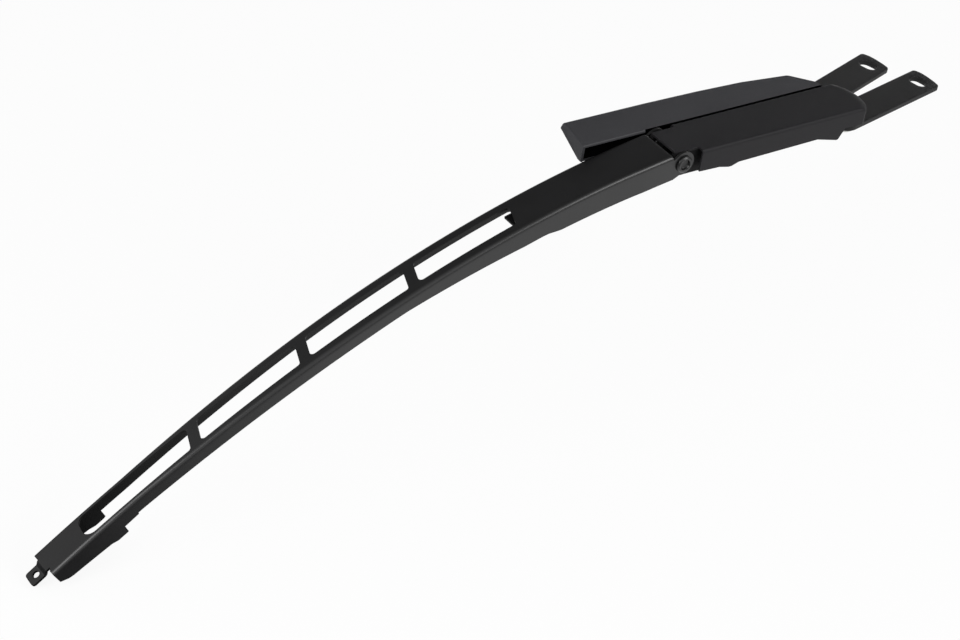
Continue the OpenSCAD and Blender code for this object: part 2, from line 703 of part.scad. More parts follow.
// Flanged bush pressed into an ear, its flange between the ear and the cheek
module hinge_bush() {
    flange = cover_top - cover_wall - cover_gap;
    rotate([-90, 0, 0]) rotate_extrude()
        polygon([[rivet_r + run_fit, ear_inner - bush_flange], [flange, ear_inner - bush_flange],
            [flange, ear_inner], [bush_r, ear_inner], [bush_r, ear_inner + arm_sheet],
            [rivet_r + run_fit, ear_inner + arm_sheet]]);
}
module far_hinge_bush() { color(brass) at_hinge() hinge_bush(); }
module near_hinge_bush() { color(brass) at_hinge() mirror([0, 1, 0]) hinge_bush(); }

module spring_pin() {
    color(zinc) at_hinge() translate([spring_pin_x, 0, spring_pin_z])
        along_y(-cheek_outer, cheek_outer) circle(spring_pin_r);
}

// Direction of the spring from its pin to the anchor
anchor = arch_point(anchor_u, 0, arm_sheet + anchor_drop);
spring_run = [anchor[0] - spring_pin_x, 0, anchor[2] - spring_pin_z];
spring_len = norm(spring_run);
spring_tilt = atan2(-spring_run[2], -spring_run[0]);

// Carries children onto the spring's line: the pin is at the origin, -x runs to the arm
module on_spring() {
    translate([spring_pin_x, 0, spring_pin_z]) rotate([0, -spring_tilt, 0]) children();
}

hook_r = spring_pin_r + face_gap + link_wire_r;
coil_start = 26;
coil_end = spring_len - 16;
coil_r = (spring_d - spring_wire) / 2;
coil_steps = 12;
// The plug is as wide as the flats of the coil's inside leave it
plug_r = (coil_r - spring_wire / 2) * cos(180 / coil_steps) - 0.02;
module rod(x0, x1, r) { translate([x0, 0, 0]) rotate([0, 90, 0]) cylinder(h = x1 - x0, r = r); }

// Wire link: an open eye round the pin, a straight shank and a plug in the spring's end
module spring_link() {
    color(zinc) at_hinge() on_spring() {
        rotate([90, 0, 0]) rotate_extrude(angle = 270, start = 60) translate([hook_r, 0]) circle(link_wire_r);
        rod(-coil_start - 9, -hook_r, link_wire_r);
        rod(-coil_start - 8, -coil_start + 1, plug_r);
    }
}

// Tension spring: a wire swept along a helix by computed rings, its last turn bent
// inwards to a straight tail with a button behind the anchor
module tension_spring() {
    sides = 6;
    n = spring_turns * coil_steps;
    lead = (coil_end - coil_start) / spring_turns;
    wire = spring_wire / 2;
    points = [for (j = [0:n]) let (a = 360 * j / coil_steps, x = -coil_start - lead * j / coil_steps)
        for (k = [0:sides - 1]) let (b = 360 * k / sides, r = coil_r + wire * cos(b))
            [x + wire * sin(b), r * cos(a), r * sin(a)]];
    skin = [for (j = [0:n - 1]) for (k = [0:sides - 1]) let (
            a = j * sides + k, b = j * sides + (k + 1) % sides)
        each [[a, b, a + sides], [b, b + sides, a + sides]]];
    caps = [[for (k = [sides - 1:-1:0]) k], [for (k = [0:sides - 1]) n * sides + k]];
    color(zinc) at_hinge() on_spring() {
        polyhedron(points, concat(skin, caps));
        translate([-coil_end, 0, 0]) rotate([-90, 0, 0]) cylinder(h = coil_r, r = wire * 0.98);
        translate([-coil_end, 0, 0]) sphere(r = wire * 0.98);
        rod(-spring_len - 2.4, -coil_end, wire * 0.98);
        rod(-spring_len - 3, -spring_len - 1.4, 1.8);
    }
}

// Anchor bracket welded under the channel's top, with a lip that holds the spring's tail
module spring_anchor() {
    t = 1.6;
    w = 10;
    lip = t / 2;
    color(black_steel) at_hinge() difference() {
        on_arch(anchor_u, arm_sheet) side_plate(-w / 2, w / 2)
            polygon([[12, -0.08], [12, -t], [5, -t], [3.4, -2 * t], [lip, -2 * t], [lip, -9],
                [-lip, -9], [-lip, -2 * t], [-10, -2 * t], [-10, -t], [2.8, -t], [4.4, -0.08]]);
        on_spring() rod(-spring_len - 4, -spring_len + 4, 1.5);
    }
}

arm_channel();
head_frame();
front_cover();
back_cover();
front_lever();
rear_lever();
front_pivot_pin();
rear_pivot_pin();
front_pivot_bush();
rear_pivot_bush();
front_upper_washer();
rear_upper_washer();
front_lower_washer();
rear_lower_washer();
near_hinge_rivet();
far_hinge_rivet();
near_hinge_bush();
far_hinge_bush();
tension_spring();
spring_link();
spring_pin();
spring_anchor();
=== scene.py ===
import json
import bmesh
import bpy
import numpy as np
from mathutils import Matrix, Vector


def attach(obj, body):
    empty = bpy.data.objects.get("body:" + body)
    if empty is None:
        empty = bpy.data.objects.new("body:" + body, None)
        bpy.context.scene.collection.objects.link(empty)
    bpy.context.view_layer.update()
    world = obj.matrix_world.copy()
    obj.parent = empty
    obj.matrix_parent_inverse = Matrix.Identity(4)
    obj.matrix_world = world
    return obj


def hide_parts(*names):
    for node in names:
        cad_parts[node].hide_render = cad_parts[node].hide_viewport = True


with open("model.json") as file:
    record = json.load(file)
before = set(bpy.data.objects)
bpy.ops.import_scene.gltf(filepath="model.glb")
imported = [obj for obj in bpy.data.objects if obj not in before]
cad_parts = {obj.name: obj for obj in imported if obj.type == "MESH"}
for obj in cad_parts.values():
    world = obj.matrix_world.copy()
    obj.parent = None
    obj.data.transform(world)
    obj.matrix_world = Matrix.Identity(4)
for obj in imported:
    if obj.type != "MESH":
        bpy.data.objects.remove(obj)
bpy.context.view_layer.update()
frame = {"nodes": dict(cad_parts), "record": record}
nodes = frame["nodes"]
print("frame loaded with", len(nodes), "solids")

# Surfaces are worked out in millimetres from the hinge axis and the arm's centre line,
# and this place carries them into the frame.
hingePlace = np.array([-207.5114, -9.7049, 7.6])

cameraValues = {
    "place": (-1046.689, -1062.525, 875.001),
    "right": (0.806532, -0.573061, 0.145279),
    "up": (0.231985, 0.532812, 0.813815),
    "back": (-0.543772, -0.622665, 0.562672),
    "lens": 112.5,
    "sensor": 36.0,
}


# The camera's three axes are the columns of its turn. It stands at its place in the frame.
def makeCamera(values):
    data = bpy.data.cameras.new("camera")
    data.lens = values["lens"]
    data.sensor_width = values["sensor"]
    data.sensor_fit = "HORIZONTAL"
    data.clip_end = 50
    camera = bpy.data.objects.new("camera", data)
    axes = Matrix((values["right"], values["up"], values["back"])).transposed()
    place = (np.array(values["place"]) + hingePlace) / 1000
    camera.matrix_world = Matrix.Translation(place) @ axes.to_4x4()
    bpy.context.scene.collection.objects.link(camera)
    bpy.context.scene.camera = camera


makeCamera(cameraValues)
bpy.context.scene.view_settings.view_transform = "Standard"
print("camera set")


# Most of a noise lies between low and high, and its detail is the number of its octaves.
cloudValues = {"low": 0.35, "high": 0.65, "grainDetail": 3, "roughDetail": 2, "shadeDetail": 4}


# A new material, its node tree and its main shader.
def newMaterial(name):
    material = bpy.data.materials.new(name)
    material.use_nodes = True
    tree = material.node_tree
    return material, tree, tree.nodes["Principled BSDF"]


# Noise on Object coordinates.
def addNoise(tree, place, scale, detail):
    noise = tree.nodes.new("ShaderNodeTexNoise")
    noise.inputs["Scale"].default_value = scale
    noise.inputs["Detail"].default_value = detail
    tree.links.new(place.outputs["Object"], noise.inputs["Vector"])
    return noise.outputs["Fac"]


# Fine grain: a noise turned into a bump.
def addGrain(tree, shader, place, scale, strength, distance):
    bump = tree.nodes.new("ShaderNodeBump")
    bump.inputs["Strength"].default_value = strength
    bump.inputs["Distance"].default_value = distance
    tree.links.new(addNoise(tree, place, scale, cloudValues["grainDetail"]), bump.inputs["Height"])
    tree.links.new(bump.outputs["Normal"], shader.inputs["Normal"])


# Roughness that drifts between two values with a slow noise.
def addRoughness(tree, shader, place, scale, low, high):
    spread = tree.nodes.new("ShaderNodeMapRange")
    spread.inputs["From Min"].default_value = cloudValues["low"]
    spread.inputs["From Max"].default_value = cloudValues["high"]
    spread.inputs["To Min"].default_value = low
    spread.inputs["To Max"].default_value = high
    tree.links.new(addNoise(tree, place, scale, cloudValues["roughDetail"]), spread.inputs["Value"])
    tree.links.new(spread.outputs["Result"], shader.inputs["Roughness"])


# Colour that drifts between two shades with a slow noise.
def addShades(tree, shader, place, scale, first, second):
    ramp = tree.nodes.new("ShaderNodeValToRGB")
    ramp.color_ramp.elements[0].position = cloudValues["low"]
    ramp.color_ramp.elements[1].position = cloudValues["high"]
    ramp.color_ramp.elements[0].color = (*first, 1)
    ramp.color_ramp.elements[1].color = (*second, 1)
    tree.links.new(addNoise(tree, place, scale, cloudValues["shadeDetail"]), ramp.inputs["Fac"])
    tree.links.new(ramp.outputs["Color"], shader.inputs["Base Color"])


# The finish of each slot in the record. The shade drifts by its share either way and the
# roughness between two values. grain is the bump's scale, strength and distance.
finishValues = {
    "black_steel": {
        "name": "satinBlackPaint", "shade": (0.0098, 0.0098, 0.0102), "drift": 0.12, "specular": 0.5,
        "metal": 0, "rough": (0.295, 0.31), "grain": (1100, 0.08, 0.0002), "clouds": 40,
    },
    "cover_front": {
        "name": "frontCoverPlastic", "shade": (0.0165, 0.016, 0.0175), "drift": 0.08, "specular": 0.14,
        "metal": 0, "rough": (0.42, 0.5), "grain": (2600, 0.2, 0.0001), "clouds": 50,
    },
    "cover_back": {
        "name": "backCoverPlastic", "shade": (0.036, 0.036, 0.04), "drift": 0.07, "specular": 0.35,
        "metal": 0, "rough": (0.45, 0.52), "grain": (2600, 0.2, 0.0001), "clouds": 40,
    },
    "zinc_steel": {
        "name": "zincPlate", "shade": (0.55, 0.55, 0.53), "drift": 0.1, "specular": 0.5,
        "metal": 1, "rough": (0.3, 0.42), "grain": (1400, 0.1, 0.0001), "clouds": 160,
    },
    "bush_brass": {
        "name": "bushBronze", "shade": (0.5, 0.34, 0.155), "drift": 0.1, "specular": 0.5,
        "metal": 1, "rough": (0.4, 0.55), "grain": (2500, 0.25, 0.0001), "clouds": 250,
    },
    "washer_plastic": {
        "name": "nylonWasher", "shade": (0.63, 0.61, 0.55), "drift": 0.05, "specular": 0.5,
        "metal": 0, "rough": (0.35, 0.45), "grain": (1200, 0.1, 0.0001), "clouds": 150,
    },
}

# Darker, duller coats that paint shade onto what lies in shadow: the frame, the inner sides
# and rims of pressed steel, and the inner sides of the covers.
shadeCoatValues = {
    "frame": {
        "name": "frameShadeCoat", "shade": (0.0035, 0.0035, 0.0037), "drift": 0.1, "specular": 0.12,
        "metal": 0, "rough": (0.5, 0.6), "grain": (1100, 0.12, 0.0002), "clouds": 40,
    },
    "steel": {
        "name": "innerShadeCoat", "shade": (0.006, 0.006, 0.0062), "drift": 0.1, "specular": 0.26,
        "metal": 0, "rough": (0.45, 0.55), "grain": (1100, 0.1, 0.0002), "clouds": 40,
    },
    "cover": {
        "name": "coverInsideShade", "shade": (0.0012, 0.0012, 0.0014), "drift": 0.08, "specular": 0.0,
        "metal": 0, "rough": (0.6, 0.7), "grain": (2600, 0.2, 0.0001), "clouds": 40,
    },
}


# A finish runs from shade * (1 - drift) to shade * (1 + drift), under an even grain.
def makeFinish(values):
    material, tree, shader = newMaterial(values["name"])
    shader.inputs["Metallic"].default_value = values["metal"]
    shader.inputs["Specular IOR Level"].default_value = values["specular"]
    place = tree.nodes.new("ShaderNodeTexCoord")
    addGrain(tree, shader, place, *values["grain"])
    addRoughness(tree, shader, place, values["clouds"], *values["rough"])
    shade, drift = np.array(values["shade"]), values["drift"]
    addShades(tree, shader, place, values["clouds"], shade * (1 - drift), shade * (1 + drift))
    return material


finishes = {slot: makeFinish(values) for slot, values in finishValues.items()}
shadeCoats = {side: makeFinish(values) for side, values in shadeCoatValues.items()}
slotOf = {part["node"]: part["material_slot"] for part in frame["record"]["subparts"]}
for nodeName, slotName in slotOf.items():
    nodes[nodeName].data.materials.clear()
    nodes[nodeName].data.materials.append(finishes[slotName])
for nodeName in ("head_frame", "spring_anchor"):  # inside, where a darker coat paints the shade that falls on them
    nodes[nodeName].data.materials[0] = shadeCoats["frame"]
bodyOf = {node: body for body, names in frame["record"]["behaviour"]["bodies"].items() for node in names}
print("materials made")


# Corner arc: the points of a circle of radius r that touches both edges at a corner. Its
# centre lies on the corner's middle line, r / sin(half the corner's angle) away.
def cornerArc(before, corner, after, r, n=6):
    u = (before - corner) / np.linalg.norm(before - corner)
    v = (after - corner) / np.linalg.norm(after - corner)
    half = np.arccos(np.clip(u @ v, -1, 1)) / 2
    centre = corner + (u + v) / np.linalg.norm(u + v) * r / np.sin(half)
    start = corner + u * r / np.tan(half) - centre
    end = corner + v * r / np.tan(half) - centre
    a0, a1 = np.arctan2(start[1], start[0]), np.arctan2(end[1], end[0])
    turn = (a1 - a0 + 3 * np.pi) % (2 * np.pi) - np.pi
    a = a0 + turn * np.linspace(0, 1, n + 1)
    return centre + r * np.stack([np.cos(a), np.sin(a)], -1)


# The arcs of a closed outline, each corner with its own radius.
def cornerArcs(corners, radii, n=6):
    corners = np.asarray(corners, float)
    before, after = np.roll(corners, 1, 0), np.roll(corners, -1, 0)
    return [cornerArc(*three, r, n) for *three, r in zip(before, corners, after, radii)]


# Even steps along a straight line: P = a + (b - a) t.
def line(a, b, n):
    return np.asarray(a) + (np.asarray(b) - np.asarray(a)) * np.linspace(0, 1, n + 1)[:, None]


# Runs joined end to end: each starts on the last point of the one before, kept once.
def chain(*runs):
    return np.concatenate([runs[0]] + [run[1:] for run in runs[1:]])


# The rounded end of an outline: arcs at its corners and straight runs between them, from
# the plain point start round to the plain point finish.
def roundedEnd(start, corners, finish, radii, lead, between=3):
    square = 0.1  # start and finish only lend their edges, so any small radius does there
    arcs = cornerArcs([finish, start] + corners, (square, square) + radii)[2:]
    runs = [line(start, arcs[0][0], lead), arcs[0]]
    for one, two in zip(arcs, arcs[1:]):
        runs += [line(one[-1], two[0], between), two]
    return chain(*runs, line(arcs[-1][-1], finish, lead))


# A plate round a hole: each outer point is joined to the hole by a straight ray,
# P = mix(hole(angle), outer, t) for t from 0 to 1. reach is the hole's radius, or a function
# that gives it at each angle.
def rayCell(outer, centre, reach, rows=3):
    away = outer - centre
    angle = np.arctan2(away[:, 1], away[:, 0])
    radius = reach(angle) if callable(reach) else reach + 0 * angle
    hole = centre + radius[:, None] * np.stack([np.cos(angle), np.sin(angle)], -1)
    t = np.linspace(0, 1, rows + 1)[:, None, None]
    return hole * (1 - t) + outer * t


# Edges bent by more than the angle are rounded, and the shading beside them is evened.
def finishEdges(piece, width, angle, segments=2):
    edge = piece.modifiers.new("edge", "BEVEL")
    edge.width = width / 1000
    edge.segments = segments
    edge.limit_method = "ANGLE"
    edge.angle_limit = np.radians(angle)
    even = piece.modifiers.new("even", "WEIGHTED_NORMAL")
    even.keep_sharp = True


# A piece takes the finish of its node's slot, stands for the node and moves with its body.
def dressPiece(piece, node):
    piece.data.materials.append(finishes[slotOf[node]])
    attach(piece, bodyOf[node])
    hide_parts(node)


# Metres and degrees: points closer than merge are one, edges shorter than speck go, and
# edges bent by more than sharp are rounded.
sheetValues = {"merge": 8e-6, "speck": 2e-6, "sharp": 38}


# Joins grids of points (rows x columns x 3, in millimetres) into one sheet of quads, whose
# faces look up on the whole. A wall grows inwards; its inner side, and for steel its rims, take a darker coat
# of painted shade.
def sheetPiece(name, grids, node, up, thickness=0.0, bevel=0.0, v=sheetValues):
    points, faces, start = [], [], 0
    for grid in grids:
        rows, columns = grid.shape[:2]
        index = start + np.arange(rows * columns).reshape(rows, columns)
        quads = [index[:-1, :-1], index[1:, :-1], index[1:, 1:], index[:-1, 1:]]
        faces.append(np.stack(quads, -1).reshape(-1, 4))
        points.append(grid.reshape(-1, 3))
        start += rows * columns
    points = (np.concatenate(points) + hingePlace) / 1000
    mesh = bpy.data.meshes.new(name)
    mesh.from_pydata(points, [], np.concatenate(faces))
    work = bmesh.new()
    work.from_mesh(mesh)
    bmesh.ops.remove_doubles(work, verts=work.verts, dist=v["merge"])
    bmesh.ops.dissolve_degenerate(work, dist=v["speck"], edges=work.edges)
    bmesh.ops.recalc_face_normals(work, faces=work.faces)
    if up and sum(face.calc_area() * face.normal.dot(Vector(up)) for face in work.faces) < 0:
        bmesh.ops.reverse_faces(work, faces=work.faces)
    for face in work.faces:
        face.smooth = True
    work.to_mesh(mesh)
    work.free()
    piece = bpy.data.objects.new(name, mesh)
    bpy.context.scene.collection.objects.link(piece)
    if thickness:
        wall = piece.modifiers.new("wall", "SOLIDIFY")
        wall.thickness = thickness / 1000
        wall.offset = -1
        wall.use_even_offset = True
        wall.material_offset = 1
        wall.material_offset_rim = 0 if "cover" in node else 1
    if bevel:
        finishEdges(piece, bevel, v["sharp"])
    dressPiece(piece, node)
    if thickness:
        # the darker coat that paints shade on the inner side, and on the rims of steel
        mesh.materials.append(shadeCoats["cover" if "cover" in node else "steel"])


armValues = {
    "reach": 386.5, "slopeHinge": 8.2, "slopeTip": 37.2, "topX": -8.0, "topZ": 6.5,
    "width": 28.3, "widthMid": 26.3, "widthTip": 20.2, "sheet": 1.6, "bend": 2.8, "edge": 0.3,
    "taperFrom": 24, "taperTo": 336.5, "taperPower": 1.5,
    "windows": ((100.8, 162.96), (169.55, 230.11), (236.43, 295.4), (301.45, 363.7)),
    "windowHalf": 7.05, "lean": 2.43, "corner": 2.0, "first": 96.0, "last": 368.8,
    "lastLean": 1.0, "lastCorners": (4.0, 5.0),  # the last window's end by the blade holder
    # depth of the flanges, against the distance in plan from the blade end
    "near": ((386.5, 16.3), (366.5, 16.3), (307.5, 15.1), (298.5, 13.1), (283.5, 13.1), (207.5, 8.7),
             (46.6, 8.8), (46.4, 9.8), (38.1, 10.2), (38.0, 15.1), (37.0, 15.3), (32.0, 15.3),
             (28.7, 14.0), (5.7, 11.7), (0.2, 7.8)),
    "far": ((386.5, 16.3), (366.5, 16.3), (307.5, 15.1), (289.7, 8.7), (34.65, 8.8), (34.5, 14.7),
            (33.4, 15.3), (28.4, 15.3), (25.1, 14.0), (5.7, 11.7), (0.2, 7.8)),
    # stations that must sit on the steps of the holder's cheeks
    "nearSteps": (339.9, 340.1, 348.4, 348.5, 349.5, 354.5, 357.8),
    "farSteps": (351.85, 352.0, 353.1, 358.1, 361.4),
    "earRadius": 7.6, "boreRadius": 3.95, "earSweep": (135, -100.7),
    "curl": (2.5, 0.9), "curlStations": (0, 0.1, 0.25, 0.5, 0.8, 1.2, 1.8, 2.5), "plainFrom": 5,
    # the blade end: how far before it the notches beside the tongue begin and step
    "notch": (2.4, 1.28, 0.32), "notchFar": 6.0, "notchNear": -6.9,
    "tongueHalf": 4.7, "tongueLength": 10.8, "tongueSkew": 0.6, "tongueCorner": 1.9, "eye": (-5.2, 2.1),
    # the tongue's step down, along the sheet and square to it
    "step": ((0.05, -0.05), (-0.5, -0.42), (-1.1, -1.15), (-1.6, -1.72), (-2.1, -1.95), (-2.7, -2.0)),
    # fineness of the grids; the ear's is that of its neck, its ring and its neck again
    "columns": 13, "arc": 6, "straight": 24, "bendRows": 8, "flangeRows": 6, "earSteps": (2, 39, 3),
    "plainStations": 32, "endStations": 7, "tongueSteps": (5, 6),
}


# The arch: u is the distance in plan from the hinge end, and the slope grows evenly with u.
def archSlope(u, a=armValues):
    s0, s1 = np.tan(np.radians(a["slopeHinge"])), np.tan(np.radians(a["slopeTip"]))
    return s0 + (s1 - s0) * u / a["reach"]


# A point the distance down below the top face, square to it.
def archPoint(u, y, down, a=armValues):
    u, y, down = np.broadcast_arrays(np.asarray(u, float), y, down)
    pitch = np.arctan(archSlope(u))
    x = a["topX"] - u + down * np.sin(pitch)
    z = a["topZ"] - u * (archSlope(0 * u) + archSlope(u)) / 2 - down * np.cos(pitch)
    return np.stack([x, y, z], -1)


# How far the top's edge at the hinge is rolled down: a quarter of an ellipse.
def endCurl(u, a=armValues):
    length, drop = a["curl"]
    return drop * (1 - np.sqrt(1 - np.clip(1 - u / length, 0, 1) ** 2))


# Half the width: it narrows with the square root of the way to the arm's middle, and then
# with a power of the way on to the blade holder.
def halfWidth(u, a=armValues):
    middle = a["reach"] / 2
    early = np.clip((u - a["taperFrom"]) / (middle - a["taperFrom"]), 0, 1)
    late = np.clip((u - middle) / (a["taperTo"] - middle), 0, 1)
    inner = a["width"] + (a["widthMid"] - a["width"]) * np.sqrt(early)
    outer = a["widthMid"] + (a["widthTip"] - a["widthMid"]) * late ** a["taperPower"]
    return np.where(u < middle, inner, outer) / 2


# Half the flat between the two bends.
def flatHalf(u, a=armValues):
    return halfWidth(u) - a["bend"]


# Depth of a side's flange below the top, straight from mark to mark.
def flangeDepth(u, side, a=armValues):
    back, depth = np.array(a["far" if side > 0 else "near"])[::-1].T
    return np.interp(a["reach"] - u, back, depth)


# Moves the nearest station onto each mark, and the next one where two marks share it.
def snapStations(u, marks):
    u, last = u.copy(), 0
    for mark in marks:
        last = max(int(np.argmin(np.abs(u - mark))), last + 1)
        u[last] = mark
    return u


# One window: its outline is four runs between the middles of its corner arcs, and the
# cell's edge is the four sides of the flat between the bends. P = mix(outline, edge, t).
def windowCell(u0, u1, start, end, last, a=armValues, rows=3):
    h, lean = a["windowHalf"], a["lean"]
    endLean = a["lastLean"] if last else lean
    corners = [[start - lean, h], [end - endLean, h], [end + endLean, -h], [start + lean, -h]]
    endRadii = a["lastCorners"] if last else (a["corner"], a["corner"])
    arcs = cornerArcs(corners, (a["corner"], *endRadii, a["corner"]), a["arc"])
    middle = a["arc"] // 2
    steps = (a["straight"], a["columns"] - 1 - a["arc"])  # along the arm, across it
    runs = []
    for i, one in enumerate(arcs):
        two = arcs[(i + 1) % 4]
        runs.append(chain(one[middle:], line(one[-1], two[0], steps[i % 2]), two[:middle + 1]))

    # How far along a run each of its points lies, as a share of the run's length.
    def share(run):
        lengths = np.concatenate([[0], np.cumsum(np.linalg.norm(np.diff(run, axis=0), axis=1))])
        return lengths / lengths[-1]

    uFar = u0 + (u1 - u0) * share(runs[0])
    uNear = u1 + (u0 - u1) * share(runs[2])
    if last:
        uFar = snapStations(uFar, a["farSteps"])
        uNear = snapStations(uNear[::-1], a["nearSteps"])[::-1]
    side = np.linspace(1, -1, len(runs[1]))
    edges = [np.stack([uFar, flatHalf(uFar)], -1), np.stack([0 * side + u1, side * flatHalf(u1)], -1),
             np.stack([uNear, -flatHalf(uNear)], -1), np.stack([0 * side + u0, -side * flatHalf(u0)], -1)]
    hole, edge = chain(*runs), chain(*edges)
    t = np.linspace(0, 1, rows + 1)[:, None, None]
    cell = hole * (1 - t) + edge * t
    return archPoint(cell[..., 0], cell[..., 1], 0), uFar, uNear[::-1]


# The bend and the flange of one side: a quarter circle of the bend's radius, then a
# straight run down to the flange's own depth at each station u.
def armSide(u, side, a=armValues):
    turn = np.linspace(np.pi / 2, 0, a["bendRows"])
    half = halfWidth(u)[:, None]
    bendY = half - a["bend"] + a["bend"] * np.cos(turn)
    bendDown = a["bend"] - a["bend"] * np.sin(turn) + 0 * half
    drop = a["bend"] + (flangeDepth(u, side)[:, None] - a["bend"]) * np.linspace(0, 1, a["flangeRows"])[1:]
    y = np.concatenate([bendY, half + 0 * drop], 1) * side
    down = np.concatenate([bendDown, drop], 1)
    points = archPoint(u[:, None], y, down)
    points[..., 2] -= endCurl(u)[:, None] * np.clip(1 - down / a["bend"], 0, 1)
    return points


# The ear: rays from the bore to the flange's end line and round the ear's own circle.
def armEar(side, a=armValues):
    neckUp, around, neckDown = a["earSteps"]
    down = a["bend"] + (flangeDepth(np.zeros(1), side) - a["bend"]) * np.linspace(1, 0, a["flangeRows"])
    ends = archPoint(0, 0, down)[:, [0, 2]]
    angle = np.radians(np.linspace(*a["earSweep"], around + 1))
    ring = a["earRadius"] * np.stack([np.cos(angle), np.sin(angle)], -1)
    loop = chain(ends, line(ends[-1], ring[0], neckUp), ring, line(ring[-1], ends[0], neckDown))
    cell = rayCell(loop, np.zeros(2), a["boreRadius"])
    y = np.full(cell.shape[:2], side * a["width"] / 2)
    return np.stack([cell[..., 0], y, cell[..., 1]], -1)


# A point given along the sheet at the blade end: x towards the hinge, z square to it.
def tipPoint(x, y, z, a=armValues):
    end = archPoint(a["reach"], 0, 0)
    pitch = np.radians(a["slopeTip"])
    x, y, z = np.broadcast_arrays(np.asarray(x, float), y, z)
    return np.stack([end[0] + x * np.cos(pitch) - z * np.sin(pitch), y,
                     end[2] + x * np.sin(pitch) + z * np.cos(pitch)], -1)


# The end of the arm: lines across the flat slide until they meet the notches and the
# tongue, y = mix(even, goal, t). The tongue steps down and is joined to its eye by rays.
def armEnd(a=armValues):
    w, flat = a["tongueHalf"], flatHalf(a["reach"])
    farColumns, tongueColumns, nearColumns = slice(0, 3), slice(2, 11), slice(10, 13)
    common = np.linspace(a["last"], a["reach"] - a["notch"][0], a["endStations"])
    even = np.linspace(1, -1, a["columns"]) * flat
    goal = np.concatenate([[flat, a["notchFar"]], np.linspace(1, -1, 9) * w, [a["notchNear"], -flat]])

    # Some of the lines at the stations u: first evenly spread, at the common stations' end on
    # their goal, and always scaled with the flat.
    def strip(u, columns):
        t = np.clip((u - common[0]) / (common[-1] - common[0]), 0, 1)[:, None]
        y = flatHalf(u)[:, None] / flat * (even * (1 - t) + goal * t)[:, columns]
        return u[:, None] + 0 * y, y

    farU = np.concatenate([common, a["reach"] - np.array(a["notch"][1:])])
    nearU = farU[:-1]
    tongue = strip(farU, tongueColumns)
    nearX, nearY = strip(nearU, nearColumns)
    nearX[-1, 0] = common[-1]
    grids = [archPoint(*strip(farU, farColumns), 0), archPoint(*tongue, 0), archPoint(nearX, nearY, 0)]
    along, down = np.array(a["step"]).T
    across = goal[tongueColumns]
    fold = tipPoint(along[:, None], across[None, :], down[:, None])
    grids.append(np.concatenate([archPoint(*[g[-1:] for g in tongue], 0), fold]))
    root, tip = along[-1], -a["tongueLength"]
    start = np.stack([0 * across + root, across], -1)
    corners = [(tip, -w), (tip + a["tongueSkew"], w)]
    end = roundedEnd(start[-1], corners, start[0], (a["tongueCorner"],) * 2, *a["tongueSteps"])
    eye, radius = a["eye"]
    cell = rayCell(chain(start, end), np.array([eye, 0.0]), radius)
    grids.append(tipPoint(cell[..., 0], cell[..., 1], down[-1]))
    return grids, farU, nearU


# The whole channel: the plain stretch from the hinge, a cell for each window, the blade
# end, and both sides with their ears, all on the same stations along the arm.
def makeArm(a=armValues):
    solid = np.concatenate([a["curlStations"], np.linspace(a["plainFrom"], a["first"], a["plainStations"])])
    across = np.linspace(1, -1, a["columns"])
    grids = [archPoint(solid[:, None], flatHalf(solid)[:, None] * across, 0)]
    grids[0][..., 2] -= endCurl(solid)[:, None]
    webs = [(one[1] + two[0]) / 2 for one, two in zip(a["windows"], a["windows"][1:])]
    edges = [a["first"]] + webs + [a["last"]]
    far, near = [solid], [solid]
    for window, u0, u1 in zip(a["windows"], edges, edges[1:]):
        cell, uFar, uNear = windowCell(u0, u1, *window, u1 == a["last"])
        grids.append(cell)
        far.append(uFar[1:])
        near.append(uNear[1:])
    tip, farU, nearU = armEnd()
    far = np.concatenate(far + [farU[1:]])
    near = np.concatenate(near + [nearU[1:]])
    grids += tip + [armSide(far, 1), armSide(near, -1), armEar(1), armEar(-1)]
    sheetPiece("armSheet", grids, "arm_channel", (0, 0, 1), a["sheet"], a["edge"])


makeArm()
print("arm made")

leverValues = {
    "width": 21.4, "thickness": 3.2, "top": -4.4, "end": 9.5, "bore": 6.25, "splits": (13.0, -13.5),
    "holeRadius": 4.0, "holeHalf": 1.8, "edge": 0.4,
    # the end's corners: x past the end, y in from the sides or off the middle, and radii
    "toe": (-1.8, -0.2, 1.1, 1.4, 0.4), "toeIn": 5, "toeMiddle": 1, "toeRadii": (2.4, 6, 20, 8, 2.4),
    "columns": 12, "rows": 12, "heelSides": 5, "heelArc": 30, "toeSides": 14,
    "front": {"pivot": (132.05, -5.1), "angle": 11.1, "length": 76.9},
    "rear": {"pivot": (116.45, 15.5), "angle": 16.6, "length": 77.2},
}


